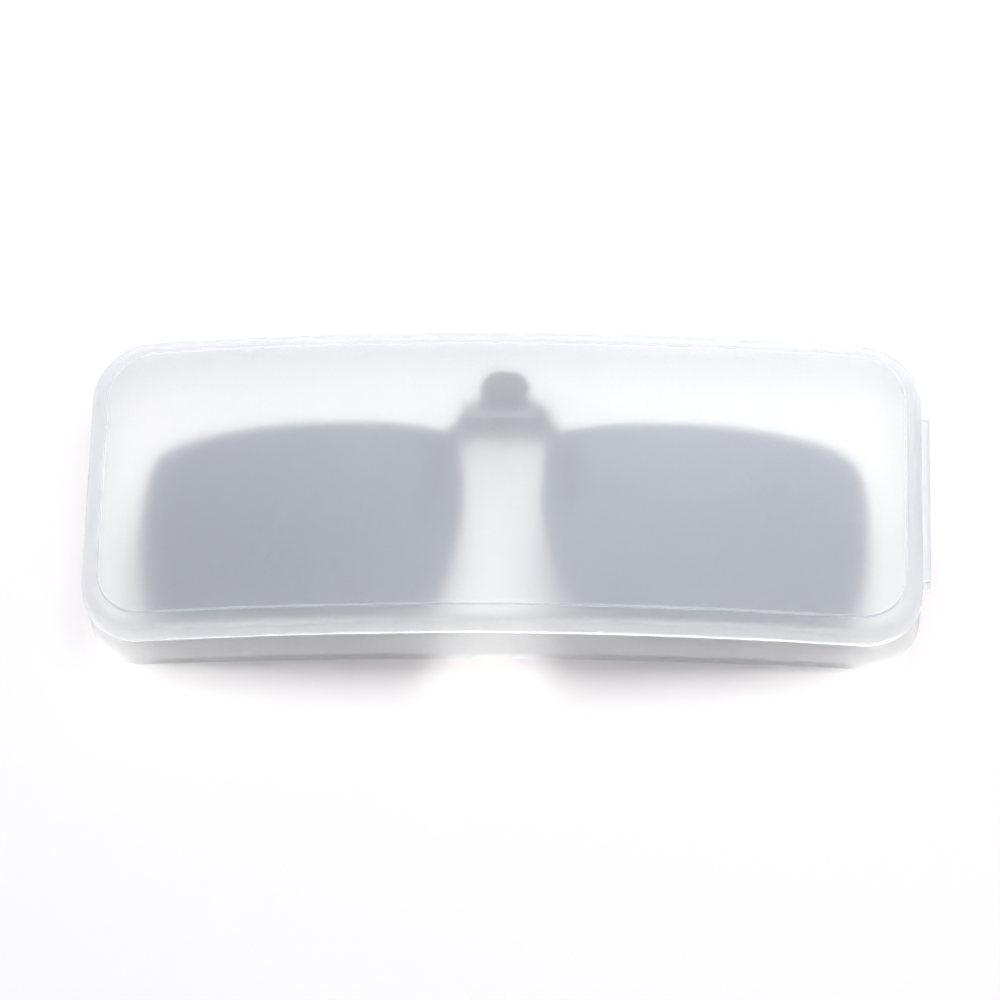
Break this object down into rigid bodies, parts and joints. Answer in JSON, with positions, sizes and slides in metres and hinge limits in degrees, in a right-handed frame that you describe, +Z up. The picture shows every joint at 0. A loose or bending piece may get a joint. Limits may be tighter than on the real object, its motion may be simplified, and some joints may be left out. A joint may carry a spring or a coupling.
{
  "type": "flip-up clip-on sunglasses in a hard case",
  "caption": "Flip-up clip-on sunglasses with a sprung squeeze clip, lying in an arched frosted plastic case whose lid turns on a film hinge at one end.",
  "frame": {"origin": "on the surface the closed case rests on, below the middle of its box", "axes": "+X along the case towards its hinged end, +Y towards the back and the glasses' brow edge, +Z up out of the lid"},
  "size_m": [0.1606, 0.0616, 0.0233],
  "materials": {
    "frosted_plastic": "frosted translucent polypropylene",
    "smoke_lens": "polished smoke-grey lens plastic",
    "bright_steel": "plain stainless wire and screws",
    "dark_steel": "blackened spring steel",
    "black_rubber": "moulded black rubber"
  },
  "bodies": {
    "case_and_clip": {"case_base": "frosted_plastic", "clip_front_plate": "dark_steel", "flip_detent_spring": "bright_steel", "squeeze_pin": "bright_steel", "squeeze_spring": "bright_steel", "front_thumb_pad": "black_rubber", "left_upper_prong_sleeve": "black_rubber", "right_upper_prong_sleeve": "black_rubber"},
    "hinge_film": {"hinge_strap": "frosted_plastic"},
    "lid": {"case_lid": "frosted_plastic"},
    "lenses": {"left_lens": "smoke_lens", "right_lens": "smoke_lens", "lens_bridge": "dark_steel", "flip_pin": "bright_steel", "left_upper_lens_screw": "bright_steel", "left_upper_lens_nut": "bright_steel", "left_lower_lens_screw": "bright_steel", "left_lower_lens_nut": "bright_steel", "right_upper_lens_screw": "bright_steel", "right_upper_lens_nut": "bright_steel", "right_lower_lens_screw": "bright_steel", "right_lower_lens_nut": "bright_steel"},
    "rear_lever": {"clip_rear_lever": "dark_steel", "rear_thumb_pad": "black_rubber", "left_lower_prong_sleeve": "black_rubber", "right_lower_prong_sleeve": "black_rubber"}
  },
  "joints": [
    {"name": "hinge_lower_crease", "type": "hinge", "parent": "case_and_clip", "child": "hinge_film", "pos_m": [0.07995, 0, 0.00935], "axis": [0, 1, 0], "range_deg": [0, 87.5]},
    {"name": "hinge_upper_crease", "type": "hinge", "parent": "hinge_film", "child": "lid", "pos_m": [0.07995, 0, 0.01115], "axis": [0, 1, 0], "range_deg": [0, 87.5]},
    {"name": "lens_flip", "type": "hinge", "parent": "case_and_clip", "child": "lenses", "pos_m": [-0.00075, 0.013, 0.01535], "axis": [-1, 0, 0], "range_deg": [0, 90.1]},
    {"name": "lever_squeeze", "type": "hinge", "parent": "case_and_clip", "child": "rear_lever", "pos_m": [-0.00075, 0.01455, 0.01013], "axis": [1, 0, 0], "range_deg": [0, 10], "stiffness_Nm_per_rad": 0.08, "springref_deg": -11.46}
  ],
  "couplings": [
    {"joint": "hinge_upper_crease", "follows": "hinge_lower_crease", "ratio": 1},
    {"joint": "lens_flip", "follows": "hinge_lower_crease", "ratio": 1.0285}
  ]
}
